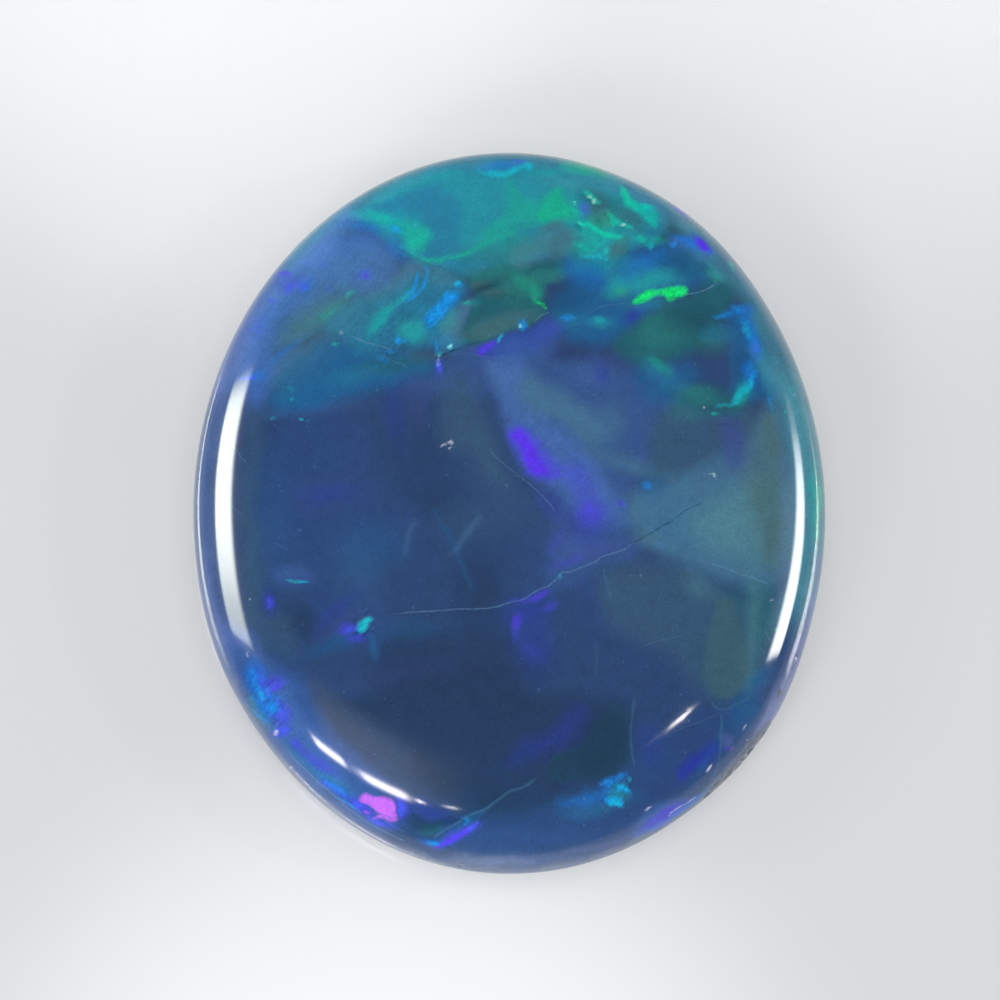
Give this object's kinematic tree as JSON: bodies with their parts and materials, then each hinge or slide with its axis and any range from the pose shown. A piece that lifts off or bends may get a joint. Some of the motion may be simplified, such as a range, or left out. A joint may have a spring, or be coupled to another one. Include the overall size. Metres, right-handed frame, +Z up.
{
  "type": "black opal cabochon",
  "caption": "Loose oval cabochon of solid black opal: low polished dome, rounded side and a flat ground back to rest on or set.",
  "frame": {"origin": "middle of the flat ground back, on the surface that the stone rests on", "axes": "+Z up out of the back through the domed crown, +Y along the oval's length towards the top of the picture, +X across the oval towards the right of the picture"},
  "size_m": [0.0104, 0.012, 0.0026],
  "materials": {
    "black_opal": "mirror-polished dark blue opal with flashes of green, cyan, violet and magenta; the flat back is fine-ground grey-blue potch"
  },
  "bodies": {
    "root": {"black_opal": "black_opal"}
  },
  "joints": []
}
